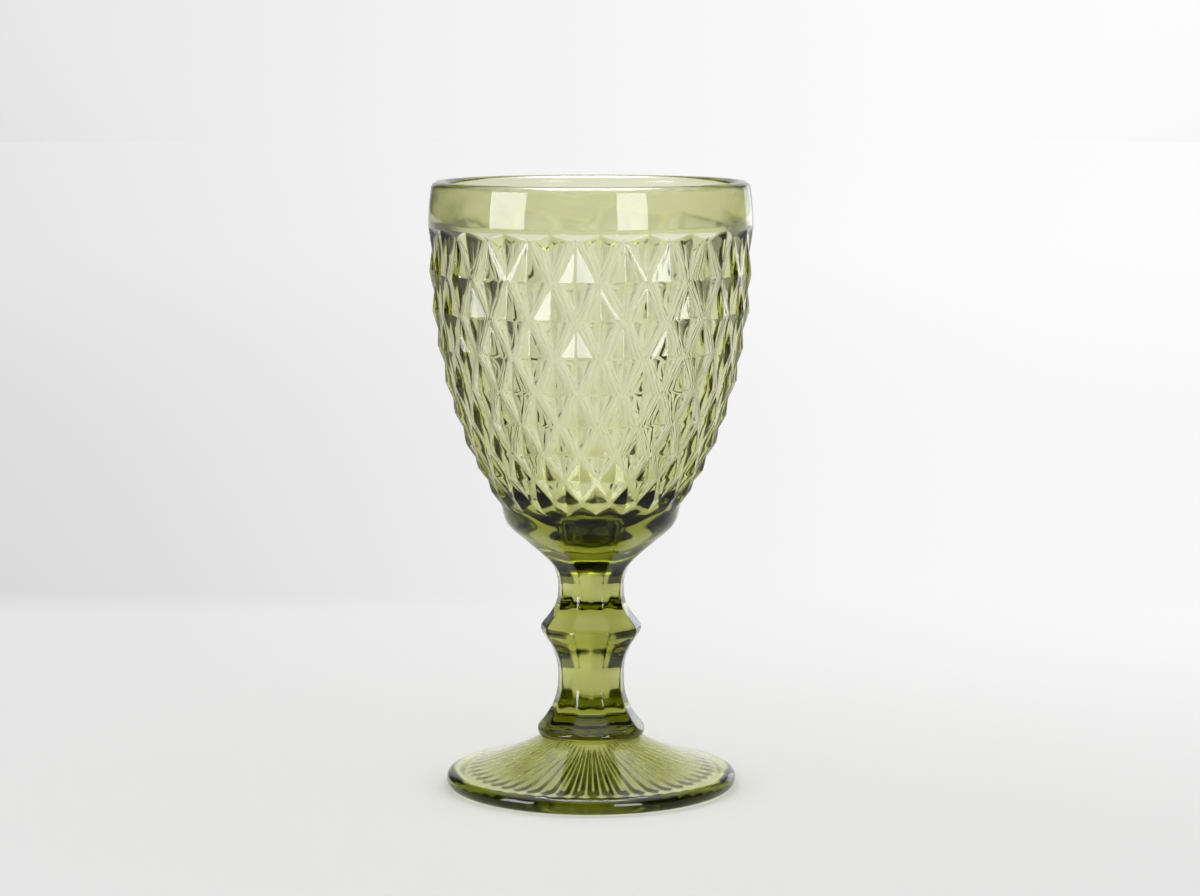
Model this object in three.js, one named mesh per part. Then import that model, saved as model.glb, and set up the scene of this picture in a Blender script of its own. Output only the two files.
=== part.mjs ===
// A pressed glass goblet: a bowl with raised diamonds, a nine-sided stem with a knop, and a foot
// that is ribbed underneath. Millimetres, +Z up, standing on z = 0 with its axis through the origin.
// Azimuths turn from the front, -Y, towards +X. Diamonds, facets and ribs share one upright mirror
// plane, on which an arris of the stem and a column of diamonds stand, and azimuth 0 below is there.
import * as THREE from 'three';
import { mergeVertices } from 'three/addons/utils/BufferGeometryUtils.js';

// Heights of the three pieces, stacked from the table up
const FOOT_HEIGHT = 13.8; // table to the crease where the stem is fused on
const STEM_LENGTH = 44.2; // crease to the neck where the bowl is fused on
const BOWL_HEIGHT = 107; // neck to rim
const PATTERN_TURN = THREE.MathUtils.degToRad(20.5); // from the front to the mirror plane

// Foot: a shallow flared cone with a thick rounded edge, hollowed and ribbed underneath
const FOOT_RADIUS = 39.5;
const FOOT_EDGE = 4.8; // thickness of the rounded edge
const FOOT_BULGE = 2.5; // how far the edge rounds out past the flare
const FOOT_FLARE = 1.38; // power of the flare's curve, where 1 is a plain cone
const FOOT_WALL = 4.4; // height of glass between the top and the hollow, at the edge
const FOOT_WEDGE = 3.2; // how much more glass there is where the foot meets the stem
const DOME_CLEARANCE = 1.2; // least glass between the hollow's dome and the crease
const REST_WIDTH = 2.4; // flat ring that touches the table
const RIB_COUNT = 47;
const RIB_DEPTH = 0.9;
const RIB_START = 2.5; // radius where the ribs begin
const RIB_END = 31.6; // and where they end
const RIB_TIP = 2.5; // length of the slope at the end of each rib

// Stem: nine hollow facets between two necks, a knop and a round collar
const FACETS = 9;
const FACET_CORNER = 1.054; // radius of the softened corners over the radius of a facet's middle
const CREASE_RADIUS = 13.3; // where the collar meets the foot
const COLLAR_RADIUS = 14.6;
const COLLAR_ROUND = 2.2; // radius of the collar's rounded lip
const COLLAR_TOP = 4.5; // how far the collar's curve would go on above its widest place
const FLARE_RADIUS = 16.8; // what the facets would reach at the crease, without the collar
const LOWER_NECK_RADIUS = 8.64;
const LOWER_NECK_HEIGHT = 16.7; // above the crease, as the next two
const KNOP_HEIGHT = 29.7;
const UPPER_NECK_HEIGHT = 41.1;
const KNOP_RADIUS = 13.3;
const KNOP_SOFTNESS = 1.75; // how far from its middle the knop's ridge is rounded over
const UPPER_NECK_RADIUS = 8.6;
const JOIN_RADIUS = 9; // stem and bowl where they are fused

// Bowl: plain faceted cup at the bottom, rings of diamonds, then a smooth band and a rounded lip
const CUP_OUTLINE = [ // height above the neck and radius, after JOIN_RADIUS at the neck itself
  [2.5, 10.05], [5.5, 12.75], [10, 17.9], [13, 21.6],
  [15, 23.1], [17.5, 23.9], [20, 24.35], [26, 25.6],
];
const FACET_FADE_START = 4; // above this height the cup's facets begin to die out
const FACET_FADE_END = 13.5; // and here they have gone
const BAND_RADIUS = 43.7;
const BAND_HEIGHT = 12.1; // from the ledge to the rim
const RIM_RADIUS = 42.9;
const SHOULDER_HEIGHT = 90; // above the neck, where the wall starts to curve in
const SHOULDER_DEPTH = 85; // half the height of the ellipse that the wall follows
const WALL = 4.5; // glass between the inside and the tips of the diamonds
const LIP_WIDTH = 4.2; // wall at the rim, where the lip is rounded
const LIP_HEIGHT = 1.8;
const BASE_THICKNESS = 13; // glass between the neck and the floor of the bowl
const INSIDE_FULLNESS = 2.05; // power of the inside curve, where 2 is an ellipse

// Diamonds: four-sided pyramids in staggered rings, with flat bands crossing between them
const DIAMONDS = 21; // round one ring
const DIAMOND_RINGS = 8;
const DIAMOND_RELIEF = 1.45;
const DIAMOND_PITCH = 0.232; // distance between rings down the wall, over the wall's radius
const FIRST_RING_DROP = 24.5; // from the rim to the top ring
const BAND_SHARE = 0.13; // half width of the flat bands, over half a diamond
const LEDGE_DROP = 1.7; // how far the ledge slopes down to the bottom of the bands
const LAST_TIP_RUN = 3.5; // how far below its ring the lowest diamonds run out on the cup

const GLASS = { color: 0xa9b06a, roughness: 0.04, metalness: 0, transparent: true, opacity: 0.55 };
const TURN = 2 * Math.PI;

// Numbers from a to b in n equal steps, both ends included
const steps = (a, b, n) => Array.from({ length: n + 1 }, (_, i) => a + ((b - a) * i) / n);

// Smooth function through points [x, y], flat or sloping as its neighbours ask
function curveThrough(points) {
  const slope = points.map((p, i) => {
    const a = points[Math.max(i - 1, 0)];
    const b = points[Math.min(i + 1, points.length - 1)];
    return (b[1] - a[1]) / (b[0] - a[0]);
  });
  return (x) => {
    let i = points.findIndex((p) => p[0] >= x);
    i = i < 0 ? points.length - 1 : Math.max(i, 1);
    const [x0, y0] = points[i - 1];
    const [x1, y1] = points[i];
    const span = x1 - x0;
    const t = (x - x0) / span;
    const rise = (t * t * (3 - 2 * t)) * (y1 - y0);
    const bend = t * (1 - t) * ((1 - t) * slope[i - 1] - t * slope[i]) * span;
    return y0 + rise + bend;
  };
}

// Height at which f(height) changes sign between low and high
function crossing(f, low, high) {
  for (let i = 0; i < 40; i++) {
    const middle = (low + high) / 2;
    if (f(low) * f(middle) <= 0) high = middle;
    else low = middle;
  }
  return (low + high) / 2;
}

const polar = (azimuth, radius, height) => new THREE.Vector3(
  radius * Math.sin(azimuth), -radius * Math.cos(azimuth), height,
);

// A closed skin, gathered as triangles that face outwards. Rings of points run with the azimuth. A
// profile runs from the middle of the underside, up the outside, over the top and down the inside.
class Skin {
  constructor() {
    this.corners = [];
  }

  triangle(a, b, c) {
    this.corners.push(a, b, c);
  }

  // A ring of n points: radius and height are numbers, or functions of the azimuth
  ring(n, radius, height) {
    const value = (v, azimuth) => (typeof v === 'function' ? v(azimuth) : v);
    return Array.from({ length: n }, (_, i) => {
      const azimuth = (TURN * i) / n;
      return { azimuth, point: polar(azimuth, value(radius, azimuth), value(height, azimuth)) };
    });
  }

  // Joins one ring to the next along the profile, whatever their numbers of points
  join(from, to) {
    const end = (ring, i) => ring[i % ring.length].azimuth + TURN * Math.floor(i / ring.length);
    const start = from[0].azimuth;
    let j = 0;
    while (end(to, j + 1) <= start) j++;
    const first = j;
    let i = 0;
    while (i < from.length || j < first + to.length) {
      const a = from[i % from.length].point;
      const b = to[j % to.length].point;
      const stepFrom = i < from.length ? end(from, i + 1) + end(from, i) : Infinity;
      const stepTo = j < first + to.length ? end(to, j + 1) + end(to, j) : Infinity;
      if (stepFrom <= stepTo) {
        this.triangle(a, from[(i + 1) % from.length].point, b);
        i++;
      } else {
        this.triangle(a, to[(j + 1) % to.length].point, b);
        j++;
      }
    }
  }

  chain(rings) {
    for (let i = 1; i < rings.length; i++) this.join(rings[i - 1], rings[i]);
  }

  // Closes a ring with a fan to one point. A fan that starts the profile comes before its ring.
  fan(ring, height, startsProfile) {
    const middle = new THREE.Vector3(0, 0, height);
    ring.forEach(({ point }, i) => {
      const next = ring[(i + 1) % ring.length].point;
      if (startsProfile) this.triangle(middle, next, point);
      else this.triangle(point, next, middle);
    });
  }

  geometry() {
    const soup = new THREE.BufferGeometry().setFromPoints(this.corners);
    const merged = mergeVertices(soup, 1e-5).rotateZ(PATTERN_TURN);
    merged.computeVertexNormals();
    return merged;
  }
}

// Radius of a section with flat facets and softened corners, whose facets' middles are at `middle`.
function facetedRadius(middle, corner, azimuth) {
  const width = TURN / FACETS;
  const fromMiddle = azimuth - width * (Math.floor(azimuth / width) + 0.5);
  return Math.min(middle / Math.cos(fromMiddle), middle * corner);
}

// Foot

const FLARE_EDGE = FOOT_RADIUS - FOOT_BULGE;
const REST_INNER = FLARE_EDGE - REST_WIDTH;

// Height of the flared top above the table
function footTop(radius) {
  const share = THREE.MathUtils.clamp((FLARE_EDGE - radius) / (FLARE_EDGE - CREASE_RADIUS), 0, 1);
  return FOOT_EDGE + (FOOT_HEIGHT - FOOT_EDGE) * share ** FOOT_FLARE;
}

// Height of the hollow above the table. The glass over it thickens towards the stem, and under the
// stem the slope goes on up into a rounded dome.
function hollowHeight(radius) {
  const flare = FLARE_EDGE - CREASE_RADIUS;
  const slope = ((FOOT_HEIGHT - FOOT_EDGE) * FOOT_FLARE - FOOT_WEDGE) / flare;
  const rise = Math.max(CREASE_RADIUS - radius, 0) * slope;
  const most = FOOT_WALL + FOOT_WEDGE - DOME_CLEARANCE;
  const underStem = (most * rise) / Math.cbrt(most ** 3 + rise ** 3);
  const glass = FOOT_WALL + FOOT_WEDGE * Math.min((FLARE_EDGE - radius) / flare, 1);
  return footTop(radius) - glass + underStem;
}

function makeFoot() {
  const skin = new Skin();
  const columns = 2 * RIB_COUNT;
  const underside = [...steps(RIB_START, RIB_END - RIB_TIP, 7), RIB_END].map((radius) => {
    const hollow = hollowHeight(radius);
    const depth = radius > RIB_START && radius < RIB_END ? RIB_DEPTH : 0;
    const ribbed = (azimuth) => hollow - depth * (0.5 - 0.5 * Math.cos(azimuth * RIB_COUNT));
    return skin.ring(columns, radius, ribbed);
  });
  const edge = steps(0, Math.PI, 8).map((angle) => skin.ring(
    columns,
    FLARE_EDGE + FOOT_BULGE * Math.sin(angle),
    (FOOT_EDGE / 2) * (1 - Math.cos(angle)),
  ));
  const top = steps(FLARE_EDGE, CREASE_RADIUS, 7).slice(1).map(
    (radius) => skin.ring(columns, radius, footTop(radius)),
  );
  skin.fan(underside[0], hollowHeight(0), true);
  skin.chain([...underside, skin.ring(columns, REST_INNER, 0), ...edge, ...top]);
  skin.fan(top.at(-1), FOOT_HEIGHT, false);
  return skin.geometry();
}

// Stem

// Radius of the middle of a facet at a height above the crease
function stemRadius(height) {
  const between = (neck, end, share, power) => neck + (end - neck) * share ** power;
  if (height < LOWER_NECK_HEIGHT) {
    return between(LOWER_NECK_RADIUS, FLARE_RADIUS, 1 - height / LOWER_NECK_HEIGHT, 2.4);
  }
  if (height > UPPER_NECK_HEIGHT) {
    const share = (height - UPPER_NECK_HEIGHT) / (STEM_LENGTH - UPPER_NECK_HEIGHT);
    return between(UPPER_NECK_RADIUS, JOIN_RADIUS, share, 2);
  }
  // 1 at the knop and 0 at the neck, with a rounded top instead of a corner
  const nearness = (reach) => {
    const along = (distance) => Math.hypot(distance, KNOP_SOFTNESS);
    return (along(reach) - along(height - KNOP_HEIGHT)) / (along(reach) - KNOP_SOFTNESS);
  };
  return height < KNOP_HEIGHT
    ? between(LOWER_NECK_RADIUS, KNOP_RADIUS, nearness(KNOP_HEIGHT - LOWER_NECK_HEIGHT), 2.3)
    : between(UPPER_NECK_RADIUS, KNOP_RADIUS, nearness(UPPER_NECK_HEIGHT - KNOP_HEIGHT), 2.6);
}

// The collar's lip is an arc that comes down to the crease, and above its widest place a flatter one
const COLLAR_CENTRE = COLLAR_RADIUS - COLLAR_ROUND;
const COLLAR_MIDDLE = Math.sqrt(COLLAR_ROUND ** 2 - (CREASE_RADIUS - COLLAR_CENTRE) ** 2);

function collarRadius(height) {
  const up = (height - COLLAR_MIDDLE) / (height < COLLAR_MIDDLE ? COLLAR_ROUND : COLLAR_TOP);
  return COLLAR_CENTRE + COLLAR_ROUND * Math.sqrt(1 - up ** 2);
}

function makeStem() {
  const skin = new Skin();
  const columns = 8 * FACETS;
  const collarTop = COLLAR_MIDDLE + COLLAR_TOP / 2;
  const heights = [
    ...steps(0, COLLAR_MIDDLE, 2),
    ...steps(COLLAR_MIDDLE, collarTop, 4).slice(1),
    ...steps(collarTop, LOWER_NECK_HEIGHT, 4).slice(1),
    ...steps(LOWER_NECK_HEIGHT, KNOP_HEIGHT - 2 * KNOP_SOFTNESS, 3).slice(1),
    ...steps(KNOP_HEIGHT - 2 * KNOP_SOFTNESS, KNOP_HEIGHT + 2 * KNOP_SOFTNESS, 6).slice(1),
    ...steps(KNOP_HEIGHT + 2 * KNOP_SOFTNESS, UPPER_NECK_HEIGHT, 3).slice(1),
    STEM_LENGTH,
  ];
  const rings = heights.map((height) => {
    const radius = (azimuth) => {
      const faceted = facetedRadius(stemRadius(height), FACET_CORNER, azimuth);
      return height < collarTop ? Math.min(faceted, collarRadius(height)) : faceted;
    };
    return skin.ring(columns, radius, FOOT_HEIGHT + height);
  });
  skin.fan(rings[0], FOOT_HEIGHT, true);
  skin.chain(rings);
  skin.fan(rings.at(-1), FOOT_HEIGHT + STEM_LENGTH, false);
  return skin.geometry();
}

// Bowl, in heights above the neck

const LEDGE_HEIGHT = BOWL_HEIGHT - BAND_HEIGHT;
const INSIDE_RADIUS = BAND_RADIUS - WALL;
const NECK = FOOT_HEIGHT + STEM_LENGTH;
const cupRadius = curveThrough([[0, JOIN_RADIUS], ...CUP_OUTLINE]);

// The smooth wall that the tips of the diamonds lie on
function wallRadius(height) {
  const below = Math.max(0, SHOULDER_HEIGHT - height) / SHOULDER_DEPTH;
  return BAND_RADIUS * Math.sqrt(Math.max(0, 1 - below ** 2));
}

// Heights of the rings of diamonds, from the lowest to the highest, then the ledge above them
function ringHeights() {
  const rings = [BOWL_HEIGHT - FIRST_RING_DROP];
  while (rings.length < DIAMOND_RINGS) {
    const above = rings[0];
    const radius = wallRadius(above);
    const pitch = DIAMOND_PITCH * radius;
    const excess = (height) => Math.hypot(above - height, radius - wallRadius(height)) - pitch;
    rings.unshift(crossing(excess, above - pitch, above));
  }
  return [...rings, LEDGE_HEIGHT];
}

// The diamonds. u counts half diamonds round the bowl, and v counts rings upwards. Where u + v is
// even lies a tip, and where it is odd two bands cross.
function addDiamonds(skin) {
  const rings = ringHeights();
  const top = rings.length - 1;
  const phase = top % 2; // a crossing on the top ring of diamonds stands at u = 0
  const share = 1 - BAND_SHARE;
  const azimuth = (u) => (Math.PI / DIAMONDS) * (u - phase);
  const point = (u, v, depth) => {
    const i = Math.min(Math.floor(v), top - 1);
    const drop = v === top ? LEDGE_DROP * depth : 0;
    const height = THREE.MathUtils.lerp(rings[i], rings[i + 1], v - i) - drop;
    const radius = wallRadius(height) - DIAMOND_RELIEF * depth;
    return polar(azimuth(u % (2 * DIAMONDS)), radius, NECK + height);
  };

  for (let v = 0; v < top; v++) {
    for (let u = 0; u < 2 * DIAMONDS; u++) {
      const tipOnLeft = (u + v) % 2 === 0;
      // One cell holds half of two tips' faces, and the band that runs between them
      const [near, far] = tipOnLeft ? [u, u + 1] : [u + 1, u];
      const along = (s) => near + (far - near) * s;
      const cell = {
        lowTip: point(near, v, 0),
        lowSide: point(along(share), v, 1),
        lowTop: point(near, v + share, 1),
        lowCross: point(far, v, 1),
        highTip: point(far, v + 1, 0),
        highSide: point(along(1 - share), v + 1, 1),
        highFoot: point(far, v + 1 - share, 1),
        highCross: point(near, v + 1, 1),
      };
      const add = (a, b, c) => (tipOnLeft ? skin.triangle(a, b, c) : skin.triangle(a, c, b));
      add(cell.lowTip, cell.lowSide, cell.lowTop);
      add(cell.highTip, cell.highSide, cell.highFoot);
      add(cell.lowSide, cell.lowCross, cell.highFoot);
      add(cell.lowSide, cell.highFoot, cell.highSide);
      add(cell.lowSide, cell.highSide, cell.lowTop);
      add(cell.highSide, cell.highCross, cell.lowTop);
    }
  }

  // Below the lowest ring the diamonds run out on the plain cup, in a zigzag
  const tipEnd = rings[0] - LAST_TIP_RUN;
  const overCup = (height) => wallRadius(height) - DIAMOND_RELIEF - cupRadius(height);
  const crossEnd = Math.max(crossing(overCup, tipEnd, rings[0]), rings[0] - LAST_TIP_RUN / 2);
  const zigzag = [];
  for (let u = 0; u < 2 * DIAMONDS; u++) {
    const height = u % 2 === 0 ? tipEnd : crossEnd;
    const corner = polar(azimuth(u), cupRadius(height), NECK + height);
    zigzag.push({ azimuth: azimuth(u), point: corner });
  }
  for (let u = 0; u < 2 * DIAMONDS; u += 2) {
    const tip = point(u, 0, 0);
    for (const side of [1, -1]) {
      const neighbour = (u + side + 2 * DIAMONDS) % (2 * DIAMONDS);
      const edge = point(u + side * share, 0, 1);
      const cross = point(neighbour, 0, 1);
      const add = (a, b, c) => (side > 0 ? skin.triangle(a, b, c) : skin.triangle(a, c, b));
      add(tip, zigzag[u].point, edge);
      add(edge, zigzag[u].point, zigzag[neighbour].point);
      add(edge, zigzag[neighbour].point, cross);
    }
  }

  // Above the highest ring a ledge slopes from the bands up to the smooth band's lower edge
  const ledge = [];
  for (let u = phase; u < 2 * DIAMONDS + phase; u += 2) {
    const flush = { azimuth: azimuth(u), point: point(u, top, 0) };
    const onEdge = (at) => ({
      azimuth: azimuth(at),
      point: polar(azimuth(at), BAND_RADIUS, NECK + LEDGE_HEIGHT),
    });
    const corners = [u + share, u + 1, u + 2 - share].map(onEdge);
    const low = [u + share, u + 1, u + 2 - share].map((at) => point(at, top, 1));
    const next = point(u + 2, top, 0);
    skin.triangle(flush.point, low[0], corners[0].point);
    for (const i of [0, 1]) {
      skin.triangle(low[i], low[i + 1], corners[i].point);
      skin.triangle(low[i + 1], corners[i + 1].point, corners[i].point);
    }
    skin.triangle(low[2], next, corners[2].point);
    ledge.push(flush, ...corners);
  }
  return { zigzag, ledge };
}

function makeBowl() {
  const skin = new Skin();
  const cupColumns = 8 * FACETS;
  const columns = 3 * DIAMONDS;
  const fade = FACET_FADE_END - FACET_FADE_START;

  const { zigzag, ledge } = addDiamonds(skin);
  const lowestTip = Math.min(...zigzag.map(({ point }) => point.z)) - NECK;
  const heights = [
    ...steps(0, FACET_FADE_END, 9),
    ...steps(FACET_FADE_END, lowestTip - 1, 3).slice(1),
  ];
  const cup = heights.map((height) => {
    const faded = THREE.MathUtils.clamp((height - FACET_FADE_START) / fade, 0, 1);
    const corner = 1 + (FACET_CORNER - 1) * (1 - faded) ** 1.5;
    const radius = (azimuth) => facetedRadius(cupRadius(height), corner, azimuth);
    return skin.ring(cupColumns, radius, NECK + height);
  });
  skin.fan(cup[0], NECK, true);
  skin.chain([...cup, zigzag]);

  // From the ledge up, band and inside lean in alike, and the lip is half an ellipse between them
  const lipStart = BOWL_HEIGHT - LIP_HEIGHT;
  const round = (radius, height) => skin.ring(columns, radius, NECK + height);
  const leaning = (low, high) => steps(LEDGE_HEIGHT, lipStart, 4).map((height) => {
    const share = (height - LEDGE_HEIGHT) / (lipStart - LEDGE_HEIGHT);
    return round(THREE.MathUtils.lerp(low, high, share ** 2), height);
  });
  const lipInside = RIM_RADIUS - LIP_WIDTH;
  const band = leaning(BAND_RADIUS, RIM_RADIUS).slice(1);
  const lip = steps(0, Math.PI, 6).slice(1, -1).map((angle) => round(
    (RIM_RADIUS + lipInside + LIP_WIDTH * Math.cos(angle)) / 2,
    lipStart + LIP_HEIGHT * Math.sin(angle),
  ));
  const upright = leaning(INSIDE_RADIUS, lipInside).reverse();
  const hollow = steps(0, 0.5 * Math.PI, 12).slice(0, -1).map((angle) => {
    const below = Math.sin(angle);
    const radius = INSIDE_RADIUS * (1 - below ** INSIDE_FULLNESS) ** (1 / INSIDE_FULLNESS);
    return round(radius, SHOULDER_HEIGHT - (SHOULDER_HEIGHT - BASE_THICKNESS) * below);
  });
  skin.chain([ledge, ...band, ...lip, ...upright, ...hollow]);
  skin.fan(hollow.at(-1), NECK + BASE_THICKNESS, false);
  return skin.geometry();
}

// The goblet

function piece(name, geometry) {
  const mesh = new THREE.Mesh(geometry, new THREE.MeshStandardMaterial(GLASS));
  mesh.name = name;
  return mesh;
}

const goblet = new THREE.Group();
goblet.name = 'goblet';
goblet.add(piece('foot', makeFoot()), piece('stem', makeStem()), piece('bowl', makeBowl()));

export default goblet;
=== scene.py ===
# %% [markdown]
# # A pressed glass goblet
#
# This lesson dresses a plain model of a goblet so that it looks like the real thing: olive-green
# glass, pressed in an iron mould, with rings of raised diamonds round the bowl, a nine-sided stem
# and a foot that is ribbed underneath. The plain model is the frame, and it fixes every main size.
#
# Glass shows every surface twice: once where light comes in and once where it goes out. So the
# whole goblet is made here as one closed skin, as the real one is one piece of glass once its bowl,
# stem and foot have been fused while hot. Three separate solids would show their end faces where
# they touch.

import math

import bmesh
import bpy
import numpy as np
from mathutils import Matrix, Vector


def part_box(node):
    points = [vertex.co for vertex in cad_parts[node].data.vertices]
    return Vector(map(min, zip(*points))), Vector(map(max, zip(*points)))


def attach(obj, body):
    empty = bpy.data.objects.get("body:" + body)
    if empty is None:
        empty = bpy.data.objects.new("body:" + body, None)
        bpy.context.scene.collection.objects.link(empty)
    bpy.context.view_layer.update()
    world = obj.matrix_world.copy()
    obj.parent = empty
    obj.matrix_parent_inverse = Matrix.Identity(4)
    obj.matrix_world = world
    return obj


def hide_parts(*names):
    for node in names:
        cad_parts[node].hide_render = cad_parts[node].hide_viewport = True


MM = 0.001

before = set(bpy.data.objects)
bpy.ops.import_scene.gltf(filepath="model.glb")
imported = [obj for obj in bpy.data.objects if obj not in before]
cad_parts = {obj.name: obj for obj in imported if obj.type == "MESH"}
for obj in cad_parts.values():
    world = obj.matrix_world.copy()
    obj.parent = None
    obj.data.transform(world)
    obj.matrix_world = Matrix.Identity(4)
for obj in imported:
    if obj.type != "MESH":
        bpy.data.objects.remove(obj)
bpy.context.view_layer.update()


# %% [markdown]
# ## The camera
#
# The photograph was taken with a long lens, from a little above the rim. The camera's height and
# distance follow from how round the rim and the foot look, because an ellipse opens up as the eye
# rises above it. The goblet stands slightly left of the middle of the picture.

# %% Place the camera
CAMERA_DISTANCE = 0.896
CAMERA_HEIGHT = 0.202
CAMERA_OFFSET = 0.00245
CAMERA_PITCH = math.radians(6.95)
LENS = 100

camera = bpy.data.objects.new("camera", bpy.data.cameras.new("camera"))
bpy.context.collection.objects.link(camera)
camera.location = (CAMERA_OFFSET, -CAMERA_DISTANCE, CAMERA_HEIGHT)
camera.rotation_euler = (math.pi / 2 - CAMERA_PITCH, 0, 0)
camera.data.lens = LENS
bpy.context.scene.camera = camera
print("camera", tuple(camera.location))

# %% [markdown]
# ## Sizes
#
# The heights and the two largest radii come from the frame. The others are the sizes that the frame
# was made from, in millimetres, because a maker's drawing would give them so.


# %% Sizes of the goblet
def half_width(part):
    """Half the width of a part of the frame, in millimetres."""
    low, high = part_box(part)
    return (high.x - low.x) / 2 / MM


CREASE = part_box("foot")[1].z / MM  # where the stem is fused to the foot
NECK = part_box("stem")[1].z / MM  # where the bowl is fused to the stem
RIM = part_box("bowl")[1].z / MM
STEM_HEIGHT = NECK - CREASE
BOWL_HEIGHT = RIM - NECK
BAND_RADIUS = half_width("bowl")
FOOT_RADIUS = half_width("foot")
PATTERN_TURN = math.radians(20.5)  # from the camera round to the mirror plane of all patterns
print("crease, neck and rim at", round(CREASE, 2), round(NECK, 2), round(RIM, 2), "mm")

# %% [markdown]
# ## Rings and skins
#
# A goblet is round, so its skin is made of rings of points. Each ring is one array, worked out at
# once from its azimuths. Blender could turn a profile into a round skin by itself, but then every
# ring would have the same number of points. Here two neighbouring rings are sewn together with
# triangles even where one has more points than the other, so that fine parts get many points and
# plain parts get few.

# %% Rings of points
TURN = 2 * math.pi


def azimuths(count):
    """Evenly spaced azimuths, counter-clockwise from above. The first lies on the mirror plane that
    diamonds, facets and ribs share."""
    return PATTERN_TURN + np.arange(count) * TURN / count


def polar(azimuth, radius, height):
    """Points at that azimuth, radius and height, in metres. x = r sin(a) and y = -r cos(a)."""
    a, r, z = np.broadcast_arrays(azimuth, radius, height)
    return np.stack([r * np.sin(a), -r * np.cos(a), z], axis=-1) * MM


def pole(height):
    """A ring of a single point on the axis, which closes a skin."""
    return [polar(np.zeros(1), 0, height)]


def steps(start, end, count):
    """Even steps from start to end, without the start, where the ring before already lies."""
    return np.linspace(start, end, count + 1)[1:]


# %% How rings are sewn together
class Skin:
    """Rings of points and the triangles between them. The profile runs from the middle of the
    underside, up the outside, over the lip and down the inside, and so the triangles face out."""

    def __init__(self):
        self.points = []
        self.faces = []
        self.count = 0
        self.last = None

    def add(self, points):
        """Takes a ring of points and returns their numbers."""
        numbers = np.arange(self.count, self.count + len(points))
        self.points.append(points)
        self.count += len(points)
        return numbers

    def sew(self, lower, upper):
        """Walks round both rings at once. Each step goes on along the ring whose next edge has the
        smaller azimuth at its middle, and adds one triangle. The step along a ring of a single
        point would add only a line, and is left out."""
        n, m = len(lower), len(upper)
        middles = np.concatenate([(np.arange(n) + 0.5) / n, (np.arange(m) + 0.5) / m])
        on_lower = np.argsort(middles, kind="stable") < n
        i = np.cumsum(on_lower) - on_lower
        j = np.cumsum(~on_lower) - ~on_lower
        first, last = lower[i % n], upper[j % m]
        third = np.where(on_lower, lower[(i + 1) % n], upper[(j + 1) % m])
        triangles = np.stack([first, third, last], axis=1)
        self.faces.append(triangles[(third != first) & (third != last)])

    def sew_leaning(self, lower, upper, leans_right):
        """Sews two rings of equal count. The edge across each square leans the way it is told, so
        that it can follow a crease."""
        a, b = lower, np.roll(lower, -1)
        d, c = upper, np.roll(upper, -1)
        right = np.where(leans_right[:, None], np.stack([a, b, c], 1), np.stack([a, b, d], 1))
        left = np.where(leans_right[:, None], np.stack([a, c, d], 1), np.stack([b, c, d], 1))
        self.faces += [right, left]

    def chain(self, rings):
        """Adds rings one after the other, and sews each to the one before."""
        for points in rings:
            numbers = self.add(points)
            if self.last is not None:
                self.sew(self.last, numbers)
            self.last = numbers

    def arrays(self):
        """All the points, and all the triangles as numbers of points."""
        return np.concatenate(self.points), np.concatenate(self.faces)


# %% [markdown]
# ## The foot
#
# The underside of the foot is hollow and carries fine radial ribs, which the mould presses in. Seen
# from above they shine through the clear top. The glass over the hollow thickens towards the stem,
# and under the stem the hollow ends in a dome. The edge of the foot is a thick bead, and its top
# rises to the stem in a shallow flare.
#
# The ribs could be made one by one and joined to the foot. A wave taken off the height of the hollow
# gives them all at once, and leaves no seams that would glint in the glass.

# %% Sizes of the foot
FOOT_EDGE = 4.8  # height of the bead
FOOT_BULGE = 2.5  # how far the bead stands out from the flare
FOOT_FLARE = 1.38  # power of the flare, where 1 would be a cone
CREASE_RADIUS = 13.3
FLARE_EDGE = FOOT_RADIUS - FOOT_BULGE
FOOT_WALL = 4.4  # glass over the hollow, at the edge of the flare
FOOT_WEDGE = 3.2  # how much more there is at the crease
DOME_CLEARANCE = 1.2  # how far the dome stays below the crease, at least
REST_INNER = FLARE_EDGE - 2.4  # inner edge of the flat ring that the goblet stands on
REST_BEVEL = 0.3
EDGE_RINGS = 13
FLARE_RINGS = 8
PLAIN_COLUMNS = 168

RIBS = 47
RIB_DEPTH = 0.9
RIB_START = 7  # radii between which the ribs run
RIB_END = 31.6
RIB_GROWTH = 5  # length in which they grow to their depth
RIB_TIP = 3.5  # length of their rounded tips
TIP_POWER = 0.7
FINE_START = 28  # radius from which the rings lie closer, for the tips
RIB_RINGS = 13
TIP_RINGS = 8
RIB_COLUMNS = 8 * RIBS


# %% Make the rings of the foot
def way_in(radius):
    """Share of the way in from the edge of the flare to the crease, and all of it further in."""
    return np.clip((FLARE_EDGE - radius) / (FLARE_EDGE - CREASE_RADIUS), 0, 1)


def foot_top(radius):
    """Height of the flared top: the bead, plus a power of the way in times the rise to the crease."""
    return FOOT_EDGE + (CREASE - FOOT_EDGE) * way_in(radius) ** FOOT_FLARE


def hollow_height(radius):
    """Height of the hollow: the top, less a wall that thickens evenly on the way in. Under the stem
    the hollow goes on up at the slope it had and levels off as a dome: the product of that rise and
    the dome's height, over the cube root of the sum of their cubes."""
    slope = ((CREASE - FOOT_EDGE) * FOOT_FLARE - FOOT_WEDGE) / (FLARE_EDGE - CREASE_RADIUS)
    rise = max(CREASE_RADIUS - radius, 0) * slope
    top = FOOT_WALL + FOOT_WEDGE - DOME_CLEARANCE
    under_stem = top * rise / (top**3 + rise**3) ** (1 / 3)
    return foot_top(radius) - FOOT_WALL - FOOT_WEDGE * way_in(radius) + under_stem


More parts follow.
